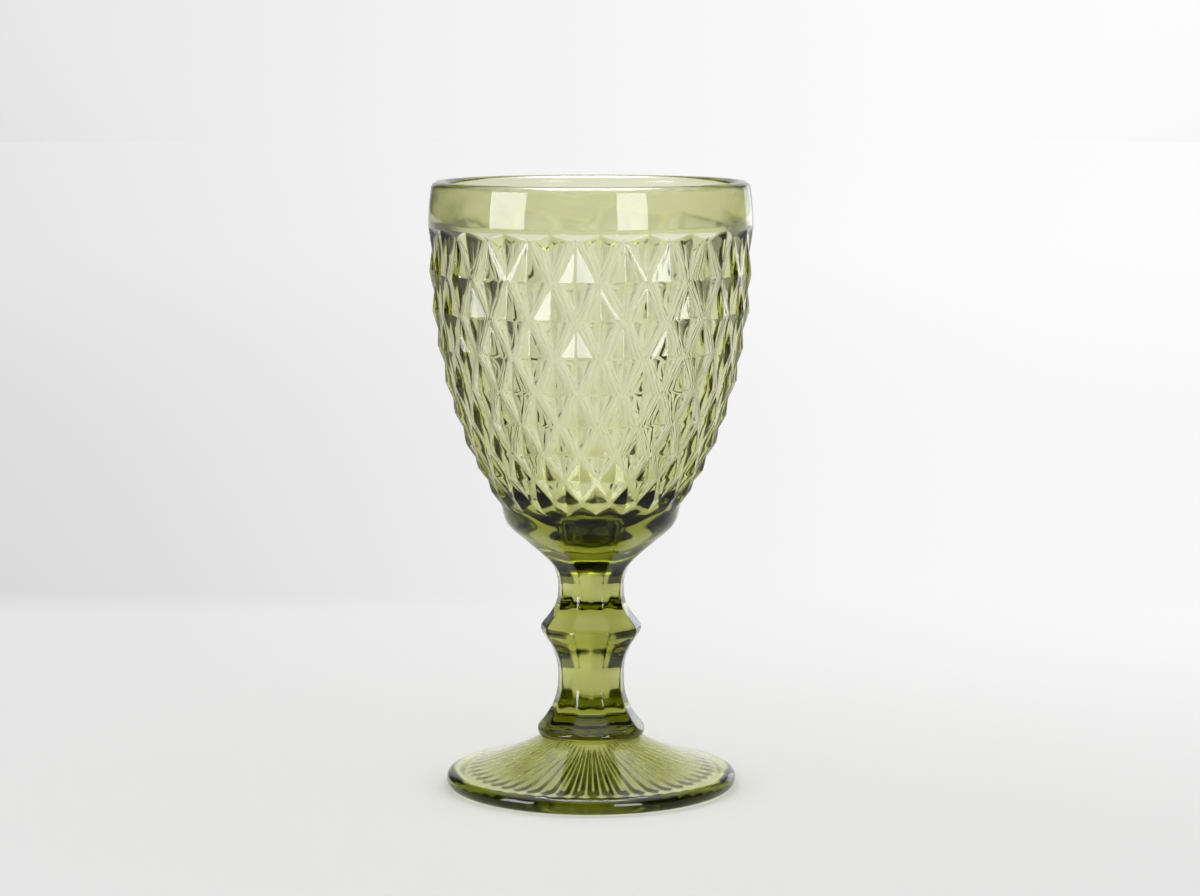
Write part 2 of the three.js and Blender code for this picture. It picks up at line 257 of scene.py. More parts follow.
def foot_underside():
    """The hollow, less the square of a sine for each rib. A rib grows evenly to its depth, and its
    tip falls by a power of the length that is left."""
    a = azimuths(RIB_COLUMNS)
    wave = np.sin(RIBS / 2 * (a - PATTERN_TURN)) ** 2
    inner = np.linspace(RIB_START, FINE_START, RIB_RINGS)
    for radius in np.concatenate([inner, steps(FINE_START, RIB_END, TIP_RINGS)]):
        grown = min(1, (radius - RIB_START) / RIB_GROWTH)
        tip = np.clip((RIB_END - radius) / RIB_TIP, 0, 1) ** TIP_POWER
        yield polar(a, radius, hollow_height(radius) - RIB_DEPTH * grown * tip * wave)


def foot_edge_and_top():
    """The bead is half an ellipse, and the top is foot_top from the bead in to the crease."""
    a = azimuths(PLAIN_COLUMNS)
    yield polar(a, REST_INNER, REST_BEVEL / 2)
    yield polar(a, REST_INNER + REST_BEVEL, 0)
    for turn in np.linspace(0, math.pi, EDGE_RINGS):
        yield polar(a, FLARE_EDGE + FOOT_BULGE * np.sin(turn), FOOT_EDGE / 2 * (1 - np.cos(turn)))
    for radius in steps(FLARE_EDGE, CREASE_RADIUS, FLARE_RINGS):
        yield polar(a, radius, foot_top(radius))


print("the hollow under the stem is", round(float(hollow_height(0)), 1), "mm high")

# %% [markdown]
# ## The stem
#
# The stem has nine hollow facets. Cut glass would have knife edges between them, but a pressed stem
# is softened by the flame. A nine-sided tube with bevelled edges would come close, but its bevels
# would keep one width on the necks and on the knop. So the section is a rounded nine-sided shape:
# the reach of each facet is combined in a p-norm, which is flat along the facets and turns smoothly
# at the corners.

# %% Sizes of the stem
FACETS = 9
FACET_COLUMNS = 28 * FACETS
CORNER_POWER = 45  # of the p-norm: the higher, the sharper the corners
CORNER_PULL = 0.7  # how closely the columns crowd at the corners, from 0 to 1
LOWER_NECK = (16.7, 8.64)  # height above the crease, and radius of a facet's middle
KNOP = (29.7, 13.3)
UPPER_NECK = (41.1, 8.6)
FLARE_RADIUS = 16.8  # that the facets would have at the crease, without the collar
JOIN_RADIUS = 9.0  # at the top, where the bowl is joined
FLARE_POWER = 2.4
JOIN_POWER = 2
BELOW_KNOP_POWER = 2.3
ABOVE_KNOP_POWER = 2.6
KNOP_SOFTNESS = 1.75

COLLAR_RADIUS = 14.6
COLLAR_ROUND = 2.2  # radius of the arc of its lip
COLLAR_TOP = 4.5  # height of its upper part, from the widest place up
COLLAR_SHARPNESS = 6
COLLAR_END = 4.2  # height above which only the facets are left
COLLAR_RINGS = 16
STEM_RINGS = 35


# %% Make the section of the stem
def facet_azimuths():
    """Azimuths that crowd together at the corners: less a sine that has one wave for each facet."""
    a = azimuths(FACET_COLUMNS)
    return a - CORNER_PULL / FACETS * np.sin(FACETS * (a - PATTERN_TURN))


def nine_sided(azimuth):
    """Radius of a nine-sided section whose facets' middles are at 1: one over the p-norm of the
    cosines of the azimuths from those middles."""
    middles = (PATTERN_TURN + (np.arange(FACETS) + 0.5) * TURN / FACETS)[:, None]
    reach = np.maximum(np.cos(azimuth[None, :] - middles), 0)
    return np.sum(reach**CORNER_POWER, axis=0) ** (-1 / CORNER_POWER)


def soft_min(a, b, sharpness):
    """The smaller of two radii, less a logarithm that is largest where they are equal, so that one
    runs into the other without an edge."""
    low = np.minimum(a, b)
    return low - np.log(1 + np.exp(-sharpness * np.abs(a - b))) / sharpness


print("corners stand out by", round(100 * float(nine_sided(azimuths(FACETS))[0]) - 100, 1), "%")


# %% Make the rings of the stem
def facet_radius(height):
    """Radius of a facet's middle. Each stretch is a neck plus a power of the nearness to the next
    wide place, and the knop's nearness is rounded by a hypotenuse."""
    if height < LOWER_NECK[0]:
        nearness = 1 - height / LOWER_NECK[0]
        return LOWER_NECK[1] + (FLARE_RADIUS - LOWER_NECK[1]) * nearness**FLARE_POWER
    if height > UPPER_NECK[0]:
        nearness = (height - UPPER_NECK[0]) / (STEM_HEIGHT - UPPER_NECK[0])
        return UPPER_NECK[1] + (JOIN_RADIUS - UPPER_NECK[1]) * nearness**JOIN_POWER
    below = height < KNOP[0]
    neck, power = (LOWER_NECK, BELOW_KNOP_POWER) if below else (UPPER_NECK, ABOVE_KNOP_POWER)
    far = math.hypot(KNOP[0] - neck[0], KNOP_SOFTNESS)
    near = math.hypot(height - KNOP[0], KNOP_SOFTNESS)
    nearness = (far - near) / (far - KNOP_SOFTNESS)
    return neck[1] + (KNOP[1] - neck[1]) * max(nearness, 0) ** power


def collar_radius(height):
    """Radius of the collar: an arc from the crease up to the widest place, and above it a quarter
    of a taller ellipse."""
    centre = COLLAR_RADIUS - COLLAR_ROUND
    middle = math.sqrt(COLLAR_ROUND**2 - (CREASE_RADIUS - centre) ** 2)
    up = (height - middle) / (COLLAR_ROUND if height < middle else COLLAR_TOP)
    return centre + COLLAR_ROUND * math.sqrt(1 - up**2)


def stem_rings():
    """Nine facets, cut off by the collar at the bottom."""
    a = facet_azimuths()
    section = nine_sided(a)
    collar = np.linspace(0, COLLAR_END, COLLAR_RINGS)
    for height in np.concatenate([collar, steps(COLLAR_END, STEM_HEIGHT, STEM_RINGS)]):
        radius = facet_radius(height) * section
        if height < COLLAR_END:
            radius = soft_min(radius, collar_radius(height), COLLAR_SHARPNESS)
        yield polar(a, radius, CREASE + height)


print("facets are", LOWER_NECK[1], "and", UPPER_NECK[1], "mm from the axis at the necks")

# %% [markdown]
# ## The plain cup under the diamonds
#
# The facets run on from the stem into the bottom of the bowl and die out in arcs, like petals. The
# arcs could be drawn and cut, but they come by themselves when the flat facets are cut into a round
# cup that grows to meet them.

# %% Sizes of the cup
# Heights above the neck, and the radius of a facet's middle there.
CUP_OUTLINE = np.array([
    [0, JOIN_RADIUS], [2.5, 10.05], [5.5, 12.75], [10, 17.9], [13, 21.6],
    [15, 23.1], [17.5, 23.9], [20, 24.35], [26, 25.6],
])
FADE_START = 4  # heights between which the facets die out
FADE_END = 13.5
FADE_POWER = 1.5
CUP_SPARE = 0.075  # share by which the round cup is wider than the facets, below the fade
CUP_SHARPNESS = 8
CUP_RINGS = 21


# %% Make the rings of the cup
def smooth_outline(x, points):
    """A smooth curve through points: a cubic between each two, with the slope at each point taken
    from its neighbours on both sides."""
    px, py = points.T
    slope = np.gradient(py, px)
    slope[1:-1] = (py[2:] - py[:-2]) / (px[2:] - px[:-2])
    i = np.clip(np.searchsorted(px, x) - 1, 0, len(px) - 2)
    span = px[i + 1] - px[i]
    t = (x - px[i]) / span
    bend = t * (1 - t) * ((1 - t) * slope[i] - t * slope[i + 1]) * span
    return py[i] + t * t * (3 - 2 * t) * (py[i + 1] - py[i]) + bend


def cup_radius(height):
    """Radius of a facet's middle, or of the cup where it is round, at a height above the neck."""
    return smooth_outline(np.asarray(height, float), CUP_OUTLINE)


def cup_rings(top):
    """Facets cut into a round cup, whose radius exceeds theirs by less and less."""
    a = facet_azimuths()
    section = nine_sided(a)
    for height in steps(0, top, CUP_RINGS):
        fade = np.clip((height - FADE_START) / (FADE_END - FADE_START), 0, 1)
        middle = cup_radius(height)
        round_cup = middle * (1 + CUP_SPARE * (1 - fade) ** FADE_POWER)
        yield polar(a, soft_min(middle * section, round_cup, CUP_SHARPNESS), NECK + height)


print("the facets die out where the cup is", round(2 * float(cup_radius(FADE_END)), 1), "mm wide")

# %% [markdown]
# ## The diamonds
#
# Each diamond is a low four-sided pyramid whose tip lies on the wall of the bowl. Flat bands cross
# between them. The diamonds could be copies of one pyramid, but the wall curves and narrows, and
# copies would leave slits between them. So they are one sheet, and its grid of points is laid along
# the diamonds, with as many steps round half a diamond as up it, so that every crease runs along
# edges of the grid and stays crisp.
#
# The rings get closer together towards the bottom, because the wall narrows there and the diamonds
# keep their shape. Each ring lies a slanted step below the one above, in proportion to the radius.

# %% Sizes of the diamonds
DIAMONDS = 21  # in one ring
DIAMOND_RINGS = 8
DIAMOND_PITCH = 0.232  # slanted step from ring to ring, as a share of the radius
RELIEF = 1.45  # from the bands out to the tips
FIRST_RING = BOWL_HEIGHT - 24.5  # height of the uppermost tips above the neck
LEDGE = BOWL_HEIGHT - 12.1  # height of the upper edge of the ledge over them
LEDGE_DROP = 1.7  # how much lower the bands end
SHOULDER = 90  # height below which the wall narrows
SHOULDER_DEPTH = 85  # upright half axis of the ellipse that it follows
STEPS = 12  # of the grid, in half a diamond
GRID_COLUMNS = 2 * DIAMONDS * STEPS
BAND_SHARE = 0.13  # width of half a band, as a share of half a diamond
FACE_SHARE = 1 - BAND_SHARE
BAND_EDGE = 0.045  # width of the bevels beside the bands
TIP_STRIPE = 0.06
RIDGE_PULL = 0.35  # how closely the grid crowds at the ridges
PILLOW = 0.35  # how far the faces are bent, from flat at 0 to a full S at 1
SAMPLES = 400  # of a curve that is looked up


# %% Work out the lattice of the diamonds
def wall_radius(height):
    """The wall that the tips lie on: upright above the shoulder, and an ellipse below it."""
    below = np.maximum(SHOULDER - np.asarray(height, float), 0) / SHOULDER_DEPTH
    return BAND_RADIUS * np.sqrt(1 - below**2)


def ring_below(height):
    """Height of the next ring down: where the slanted distance is the pitch times the radius."""
    pitch = DIAMOND_PITCH * wall_radius(height)
    lower = np.linspace(height, height - pitch, SAMPLES)
    slanted = np.hypot(height - lower, wall_radius(height) - wall_radius(lower))
    return np.interp(pitch, slanted, lower)


ring_heights = [FIRST_RING]
while len(ring_heights) < DIAMOND_RINGS:
    ring_heights.insert(0, float(ring_below(ring_heights[0])))
ring_heights.append(LEDGE)
print("rings of diamonds at", [round(NECK + h, 1) for h in ring_heights[:-1]], "mm")

# %% Place the points of the diamonds
# How far out each line of the grid lies, from 0 at a diamond's tip to 1 in the middle of a band.
STRIPES = np.concatenate([
    [0], np.linspace(TIP_STRIPE, FACE_SHARE - BAND_EDGE, STEPS - 3),
    [FACE_SHARE, FACE_SHARE + BAND_EDGE, 1],
])


def corner(u, v, depth):
    """A corner of the lattice. u counts half diamonds round and v counts rings up, and depth is 0
    on a tip and 1 in a band. The bands end lower at the ledge, which slopes down to them."""
    height = np.interp(v, np.arange(len(ring_heights)), ring_heights)
    height = height - np.where(v == DIAMOND_RINGS, LEDGE_DROP * depth, 0)
    azimuth = PATTERN_TURN + math.pi / DIAMONDS * u
    return polar(azimuth, wall_radius(height) - RELIEF * depth, NECK + height)


def grid_cells():
    """The grid, row by row upwards. A cell of the lattice is half a diamond wide and a ring high,
    with a tip in one lower corner and in the upper corner across. For each point this gives the row
    v of its cell, the columns near and far of the lower and the upper tip, whether it belongs to
    the upper one, the steps a round and b up or down from its tip, and whether the lower tip is on
    the left."""
    rows = np.arange(DIAMOND_RINGS * STEPS + 1)
    j, i = np.meshgrid(rows, np.arange(GRID_COLUMNS), indexing="ij")
    v = np.minimum(j // STEPS, DIAMOND_RINGS - 1)
    u = i // STEPS
    tip_left = (u + v) % 2 == 0
    near = np.where(tip_left, u, u + 1)
    far = np.where(tip_left, u + 1, u)
    b = j - v * STEPS
    a = np.where(tip_left, i - u * STEPS, STEPS - (i - u * STEPS))
    upper = a + b > STEPS
    a, b = np.where(upper, STEPS - a, a), np.where(upper, STEPS - b, b)
    return v, near, far, upper, a, b, tip_left


def softened(face, out):
    """Bends the faces, so that they round over at the tip and run softly into the band. Their depth
    goes part of the way from a straight line to a cubic of how far out from the tip they lie."""
    deeper = PILLOW * (out**2 * (3 - 2 * out) - out) * RELIEF * MM
    from_axis = np.hypot(face[..., 0], face[..., 1])[..., None]
    return face - face * np.array([1, 1, 0]) / from_axis * deeper[..., None]


def diamond_points():
    """In each cell a face runs out from the lower tip and another from the upper tip, and the band
    between them is flat. A point is told by s, how far out from the tip it lies, and q, how far it
    has turned from the level ridge to the upright one."""
    v, near, far, upper, a, b, tip_left = grid_cells()
    across = far - near
    s = STRIPES[a + b]
    share = b / np.maximum(a + b, 1)
    q = share - RIDGE_PULL / TURN * np.sin(TURN * share)

    def by_tip(above, below):
        """The first where a point belongs to the upper tip, and the second elsewhere."""
        return np.where(upper[..., None], above, below)

    tip = by_tip(corner(far, v + 1, 0), corner(near, v, 0))
    side = by_tip(
        corner(near + across * BAND_SHARE, v + 1, 1), corner(near + across * FACE_SHARE, v, 1)
    )
    end = by_tip(corner(far, v + BAND_SHARE, 1), corner(near, v + FACE_SHARE, 1))
    along = side + (end - side) * q[..., None]
    out = np.minimum(s / FACE_SHARE, 1)
    face = softened(tip + (along - tip) * out[..., None], out)

    start, finish = corner(far, v, 1), corner(near, v + 1, 1)
    middle = start + (finish - start) * by_tip(1 - q[..., None], q[..., None])
    in_band = np.clip((s - FACE_SHARE) / BAND_SHARE, 0, 1)[..., None]
    return face + (middle - along) * in_band, tip_left


print("the grid of the diamonds has", GRID_COLUMNS, "columns")

# %% Run the lowest diamonds out on the cup
LAST_TIP_RUN = 3.5  # how far they run down below their tips
RUN_OUT_RINGS = 6


def run_out_points(lowest_row):
    """Below the lowest ring, straight lines run from the ring down to a zigzag on the cup. It is
    lowest under the tips, and between them it is highest, where the bands meet the cup."""
    u = np.arange(GRID_COLUMNS) / STEPS
    from_tip = np.abs(u - 2 * np.round(u / 2))
    tip_end = ring_heights[0] - LAST_TIP_RUN
    heights = np.linspace(tip_end, ring_heights[0], SAMPLES)
    over_cup = wall_radius(heights) - RELIEF - cup_radius(heights)
    cross_end = max(np.interp(0, over_cup, heights), ring_heights[0] - LAST_TIP_RUN / 2)
    height = tip_end + (cross_end - tip_end) * from_tip
    zigzag = polar(PATTERN_TURN + math.pi / DIAMONDS * u, cup_radius(height), NECK + height)
    shares = np.linspace(0, 1, RUN_OUT_RINGS, endpoint=False)
    return [zigzag + (lowest_row - zigzag) * share for share in shares], tip_end


# %% [markdown]
# ## The smooth band, the lip and the inside
#
# A ledge slopes from the bands up to the smooth band under the rim. The lip is fully rounded by the
# flame. The inside is a plain round hollow over a thick base, because the plunger that presses it
# has to come out again. A turned profile would do for all of it, but the plunger also leaves the
# inside faintly wavy, and a formula adds that for each point.

# %% Sizes of the band, the lip and the inside
RIM_RADIUS = 42.9
WALL = 4.5  # from the inside out to the tips
LIP_WIDTH = 4.2
LIP_HEIGHT = 1.8
LIP_START = BOWL_HEIGHT - LIP_HEIGHT
INSIDE_RADIUS = BAND_RADIUS - WALL
BASE_THICKNESS = 13
FULLNESS = 2.05  # power of the superellipse, where 2 would be an ellipse
BOWL_COLUMNS = 216
LEDGE_RINGS = 3
BAND_RINGS = 7
LIP_RINGS = 14
HOLLOW_RINGS = 39

WAVE_DEPTH = 0.1
# Waves round the axis, waves in a metre of height, and the phase of each sine.
WAVES = ((13, -52, 2), (-11, -83, 0), (7, 121, 3))
UPRIGHT_WAVES = 19
UPRIGHT_PHASE = 1
WANDER_WAVES = 3  # in which the upright waves drift to and fro
WANDER = 2  # how far, in radians


# %% Make the rings of the band, the lip and the inside
def ledge_rings(top_row):
    """Straight lines from the top of the diamonds up to the lower edge of the smooth band."""
    edge = polar(azimuths(len(top_row)), BAND_RADIUS, NECK + LEDGE)
    return [top_row + (edge - top_row) * share for share in steps(0, 1, LEDGE_RINGS)]


def band_and_lip():
    """The band leans in by a square law, and the lip is half an ellipse."""
    a = azimuths(BOWL_COLUMNS)
    for share in steps(0, 1, BAND_RINGS):
        radius = BAND_RADIUS + (RIM_RADIUS - BAND_RADIUS) * share**2
        yield polar(a, radius, NECK + LEDGE + (LIP_START - LEDGE) * share)
    half = LIP_WIDTH / 2
    for turn in steps(0, math.pi, LIP_RINGS):
        radius = RIM_RADIUS - half + half * np.cos(turn)
        yield polar(a, radius, NECK + LIP_START + LIP_HEIGHT * np.sin(turn))


def waviness(azimuth, height):
    """What the plunger leaves on the inside: a sine of the azimuth that another one shifts, and
    three slanting sines."""
    a, h = azimuth, height * MM * TURN
    upright = np.sin(UPRIGHT_WAVES * a + WANDER * np.sin(WANDER_WAVES * a) + UPRIGHT_PHASE)
    slanting = sum(np.sin(waves * a + up * h + phase) for waves, up, phase in WAVES)
    return WAVE_DEPTH * (upright + slanting) / 2


def inside_rings():
    """The inside leans with the band by a square law down to the ledge. Below the shoulder it is a
    superellipse turned round the axis, down to the floor of the bowl."""
    a = azimuths(BOWL_COLUMNS)
    for share in steps(1, 0, BAND_RINGS):
        radius = INSIDE_RADIUS + (RIM_RADIUS - LIP_WIDTH - INSIDE_RADIUS) * share**2
        height = LEDGE + (LIP_START - LEDGE) * share
        grown = min(1, 3 - 3 * share)
        yield polar(a, radius + waviness(a, height) * grown, NECK + height)
    for turn in np.linspace(0, math.pi / 2, HOLLOW_RINGS, endpoint=False):
        below = math.sin(turn)
        radius = INSIDE_RADIUS * (1 - below**FULLNESS) ** (1 / FULLNESS)
        height = SHOULDER - (SHOULDER - BASE_THICKNESS) * below
        yield polar(a, radius + waviness(a, height) * math.cos(turn), NECK + height)


print("the bowl is", round(BOWL_HEIGHT - BASE_THICKNESS, 1), "mm deep inside")

# %% [markdown]
# ## Sewing the skin
#
# All the rings are sewn from the middle of the underside to the middle of the bowl's floor. Joining
# finished parts with Booleans could leave thin slivers, which show in clear glass. Points that fall
# on each other, as where a diamond's tip touches the ledge, are merged at the end.

# %% Sew the goblet together
CUP_GAP = 0.6  # from the last ring of the cup up to the lowest points of the zigzag
MERGE_DISTANCE = 1e-6


def make_goblet():
    """The whole profile, from the underside round to the floor of the bowl."""
    skin = Skin()
    skin.chain(pole(hollow_height(0)))
    skin.chain(foot_underside())
    skin.chain(foot_edge_and_top())
    skin.chain(stem_rings())
    points, tip_left = diamond_points()
    run_out, run_out_end = run_out_points(points[0])
    skin.chain(cup_rings(run_out_end - CUP_GAP))
    skin.chain(run_out)
    rows = [skin.add(row) for row in points]
    skin.sew(skin.last, rows[0])
    for row, (lower, upper) in enumerate(zip(rows, rows[1:])):
        skin.sew_leaning(lower, upper, ~tip_left[row])
    skin.last = rows[-1]
    skin.chain(ledge_rings(points[-1]))
    skin.chain(band_and_lip())
    skin.chain(inside_rings())
    skin.chain(pole(NECK + BASE_THICKNESS))
    return skin.arrays()


def make_object(name, points, faces):
    """Puts the points and triangles into a smooth mesh, and merges points that coincide."""
    mesh = bpy.data.meshes.new(name)
    mesh.from_pydata(points.tolist(), [], faces.tolist())
    work = bmesh.new()
    work.from_mesh(mesh)
    bmesh.ops.remove_doubles(work, verts=work.verts, dist=MERGE_DISTANCE)
    work.to_mesh(mesh)
    work.free()
    mesh.polygons.foreach_set("use_smooth", np.ones(len(mesh.polygons), bool))
    made = bpy.data.objects.new(name, mesh)
    bpy.context.collection.objects.link(made)
    print(name, len(mesh.vertices), "points and", len(mesh.polygons), "triangles")
    return made


goblet = make_object("goblet_glass", *make_goblet())
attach(goblet, "root")
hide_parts("foot", "stem", "bowl")

# %% [markdown]
# ## The glass
#
# The colour of such glass is in the mass, so thin walls look pale and thick ones dark. A tinted
# surface would give both the same colour. An absorbing volume gets it right: each millimetre takes
# away the same share of the light, most of it blue. The surface itself is clear and glossy, with
# the faint waviness that pressed glass keeps. The inside of the bowl is made a little duller than
# the outside, most of all in the band, because the photograph shows only soft tones there.


# %% A small class for shader maths
class Wire:
    """One output socket in a tree of shader nodes. Sums, differences and products add Math nodes."""

    def __init__(self, tree, socket=None):
        self.tree = tree
        self.socket = socket

    def wire(self, socket):
        """Another socket of the same tree."""
        return Wire(self.tree, socket)

    def node(self, kind, settings=None, slots=(), **inputs):
        """Adds a node of that type: its settings first, then the values or links of its sockets, by
        number in slots or by name, where an underscore stands for a space."""
        made = self.tree.nodes.new(kind)
        for name, value in (settings or {}).items():
            setattr(made, name, value)
        for number, value in enumerate(slots):
            self.plug(made.inputs[number], value)
        for name, value in inputs.items():
            self.plug(made.inputs[name.replace("_", " ")], value)
        return made

    def plug(self, socket, value):
        """Sets a socket to a value, or links it to a wire or to another socket."""
        if isinstance(value, Wire):
            self.tree.links.new(value.socket, socket)
        elif isinstance(value, bpy.types.NodeSocket):
            self.tree.links.new(value, socket)
        else:
            socket.default_value = value

    def maths(self, operation, *values):
        """Adds a Math node and returns its result."""
        made = self.node("ShaderNodeMath", {"operation": operation}, values)
        return self.wire(made.outputs[0])

    def __add__(self, other):
        return self.maths("ADD", self, other)

    def __sub__(self, other):
        return self.maths("SUBTRACT", self, other)

    def __rsub__(self, other):
        return self.maths("SUBTRACT", other, self)

    def __mul__(self, other):
        return self.maths("MULTIPLY", self, other)

    __radd__ = __add__
    __rmul__ = __mul__

    def power(self, other):
        return self.maths("POWER", self, other)

    def at_least(self, other):
        return self.maths("MAXIMUM", self, other)

    def below(self, other):
        """1 where this is less than the other, and 0 elsewhere."""
        return self.maths("LESS_THAN", self, other)

    def ramp(self, span, low, high):
        """Runs from low to high as this goes from the start of the span to its end, softly."""
        made = self.node(
            "ShaderNodeMapRange", {"interpolation_type": "SMOOTHSTEP"},
            Value=self, From_Min=span[0], From_Max=span[1], To_Min=low, To_Max=high,
        )
        return self.wire(made.outputs["Result"])

    def split(self, vector):
        """The x, y and z of a vector."""
        parts = self.node("ShaderNodeSeparateXYZ", Vector=vector).outputs
        return [self.wire(parts[name]) for name in "XYZ"]


def new_material(name):
    """An empty material, and its tree as the start of an expression."""
    material = bpy.data.materials.new(name)
    material.use_nodes = True
    material.node_tree.nodes.clear()
    return material, Wire(material.node_tree)


# %% Sizes and tones of the glass
GLASS_COLOUR = (0.63, 0.652, 0.03, 1)
GLASS_DENSITY = 116
GLASS_IOR = 1.51
SURFACE_COLOUR = (0.985, 0.99, 1, 1)
MIRROR_SHARE = (0.45, 0.45, 0.45, 1)  # darkens what the surface mirrors straight on
OUTSIDE_ROUGHNESS = 0.012
INSIDE_ROUGHNESS = 0.03
UPPER_ROUGHNESS = 0.06
BAND_ROUGHNESS = 0.15
UPPER_SPAN = (MM * (NECK + 40), MM * (NECK + SHOULDER))
BAND_SPAN = (MM * (NECK + LEDGE - 3), MM * (NECK + LEDGE + 1))
WAVE_SCALE = 90.0
WAVE_STRENGTH = 0.06
SMEAR_SCALE = 35.0
SMEAR_DETAIL = 3.0
SMEAR_ROUGHNESS = 0.02


# %% Mix the glass
def inside_mask(x, y, z):
    """1 on the inside of the bowl: where (r / R)^n + (depth / D)^n < 1 for a superellipse that runs
    half way between the inside and the outside."""
    width = MM * (BAND_RADIUS - WALL / 2)
    height = MM * (SHOULDER - BASE_THICKNESS + WALL / 2)
    radius = (x * x + y * y).power(0.5) * (1 / width)
    depth = (MM * (NECK + SHOULDER) - z) * (1 / height)
    far = radius.power(FULLNESS) + depth.at_least(0).power(FULLNESS)
    return far.below(1)


def green_glass():
    """Clear, glossy glass round an absorbing volume. The roughness is that of the outside, with
    smears, plus what the inside has more at that height."""
    material, graph = new_material("green_glass")
    place = graph.node("ShaderNodeTexCoord").outputs["Object"]
    waves = graph.node("ShaderNodeTexNoise", Vector=place, Scale=WAVE_SCALE, Detail=1.0)
    bump = graph.node(
        "ShaderNodeBump", Height=waves.outputs["Fac"], Strength=WAVE_STRENGTH, Distance=MM
    )
    noise = graph.node("ShaderNodeTexNoise", Vector=place, Scale=SMEAR_SCALE, Detail=SMEAR_DETAIL)
    smears = graph.wire(noise.outputs["Fac"])
    x, y, z = graph.split(place)
    upper = z.ramp(
        UPPER_SPAN, INSIDE_ROUGHNESS - OUTSIDE_ROUGHNESS, UPPER_ROUGHNESS - OUTSIDE_ROUGHNESS
    )
    band = z.ramp(BAND_SPAN, 0, BAND_ROUGHNESS - UPPER_ROUGHNESS)
    inside = inside_mask(x, y, z) * (upper + band)
    roughness = inside + smears * SMEAR_ROUGHNESS + (OUTSIDE_ROUGHNESS - SMEAR_ROUGHNESS / 2)
    surface = graph.node(
        "ShaderNodeBsdfPrincipled",
        Base_Color=SURFACE_COLOUR, Roughness=roughness, IOR=GLASS_IOR, Specular_Tint=MIRROR_SHARE,
        Transmission_Weight=1.0, Normal=bump.outputs["Normal"],
    )
    volume = graph.node("ShaderNodeVolumeAbsorption", Color=GLASS_COLOUR, Density=GLASS_DENSITY)
    graph.node(
        "ShaderNodeOutputMaterial", Surface=surface.outputs["BSDF"], Volume=volume.outputs["Volume"]
    )
    return material


goblet.data.materials.append(green_glass())
two_walls = 2 * WALL * MM
kept = [round(math.exp(-GLASS_DENSITY * (1 - c) * two_walls), 2) for c in GLASS_COLOUR[:3]]
print("two walls let through", kept, "of red, green and blue")

# %% [markdown]
# ## The studio
#
# The photograph has a white table that runs into a white background. The floor here is a pale disc
# that keeps the goblet's shadow, under a plain soft light. Its colour holds painted light and shade:
# it is painted lighter to the right and to the back, where more light falls, and darker to the left
# and at the front. Clear glass is drawn by what it reflects and refracts, and that isn't plain: a
# bright wall behind the goblet, dimmer sides and a dark room in front of it. Soft lamps at the front
# and above are seen only as reflections.
#
# The room could be built of panels, but these would cast shadows and light the floor unevenly.
# Tones that depend on the direction alone are simpler, and only the eye and the glass find them.

# %% Sizes and tones of the floor
FLOOR_RADIUS = 6
FLOOR_HEIGHT = -0.05  # just clear of the glass, in millimetres
FLOOR_COLUMNS = 96
# Painted shade: the tone of the paper at the front.
FRONT_SHADE_TONE = 0.8
PAPER_SIDES = (-0.25, 0.25)  # from left to right, in metres
# Painted shade at the left and painted light at the right.
PAPER_LIGHT_AND_SHADE = (0.79, 0.96)  # at the back of the paper
PAPER_START = -0.15  # from front to back
PAPER_END = 0.292
PAPER_FADE = (PAPER_END - 0.02, PAPER_END + 0.03)  # from the paper to the wall
WALL_TURN = (-0.42, 0.22)  # from left to right, in radians
# Painted shade at the left and painted light at the right of the wall on the floor; the world's wall
# gets the same light.
WALL_LIGHT_FALLOFF = (0.685, 0.94)
WALL_FAR = (0.5, 2.5)  # from front to back
WALL_LIFT = 0.045  # how much lighter the wall is at the far end
FAN_START = 0.35  # how far in front of the goblet the tones of the wall fan out from


# %% Floor
def wall_falloff_tone(right, back):
    """The wall is lighter on the right, where more light falls: a ramp of the azimuth, from left to
    right. On the floor this is painted light and shade, and in the world it is light.
    """
    return right.maths("ARCTAN2", right, back).ramp(WALL_TURN, *WALL_LIGHT_FALLOFF)


def floor_paper():
    """A matt paper whose colour is painted lighter to the right and to the back, as painted light,
    and which runs softly into the wall.
    """
    material, graph = new_material("floor_paper")
    right, back, _ = graph.split(graph.node("ShaderNodeTexCoord").outputs["Object"])
    # Painted light and shade: the paper and the wall are painted lighter to the right and to the
    # back.
    paper = back.ramp((PAPER_START, PAPER_END), FRONT_SHADE_TONE, right.ramp(PAPER_SIDES, *PAPER_LIGHT_AND_SHADE))
    wall = wall_falloff_tone(right, back + FAN_START) + back.ramp(WALL_FAR, 0, WALL_LIFT)
    tone = back.ramp(PAPER_FADE, paper, wall)
    colour = graph.node("ShaderNodeCombineColor", Red=tone, Green=tone, Blue=tone)
    surface = graph.node(
        "ShaderNodeBsdfPrincipled",
        Base_Color=colour.outputs["Color"], Roughness=0.8, Specular_IOR_Level=0.0,
    )
    graph.node("ShaderNodeOutputMaterial", Surface=surface.outputs["BSDF"])
    return material


def floor_disc():
    """Rings of points from the edge inwards, so that the triangles face up."""
    skin = Skin()
    a = azimuths(FLOOR_COLUMNS)
    skin.chain([polar(a, r / MM, FLOOR_HEIGHT) for r in (FLOOR_RADIUS, FLOOR_RADIUS / 2)])
    skin.chain(pole(FLOOR_HEIGHT))
    return skin.arrays()


floor = make_object("floor", *floor_disc())
floor.data.materials.append(floor_paper())

# %% Tones of the room and sizes of the lamps
ROOM_LIGHT = 0.02  # in front of the goblet
LEFT_LIGHT = 0.08  # at the sides
RIGHT_LIGHT = 0.34
CEILING_LIGHT = 2.8
WALL_RISE = 0.25  # how much the bright wall goes on upwards
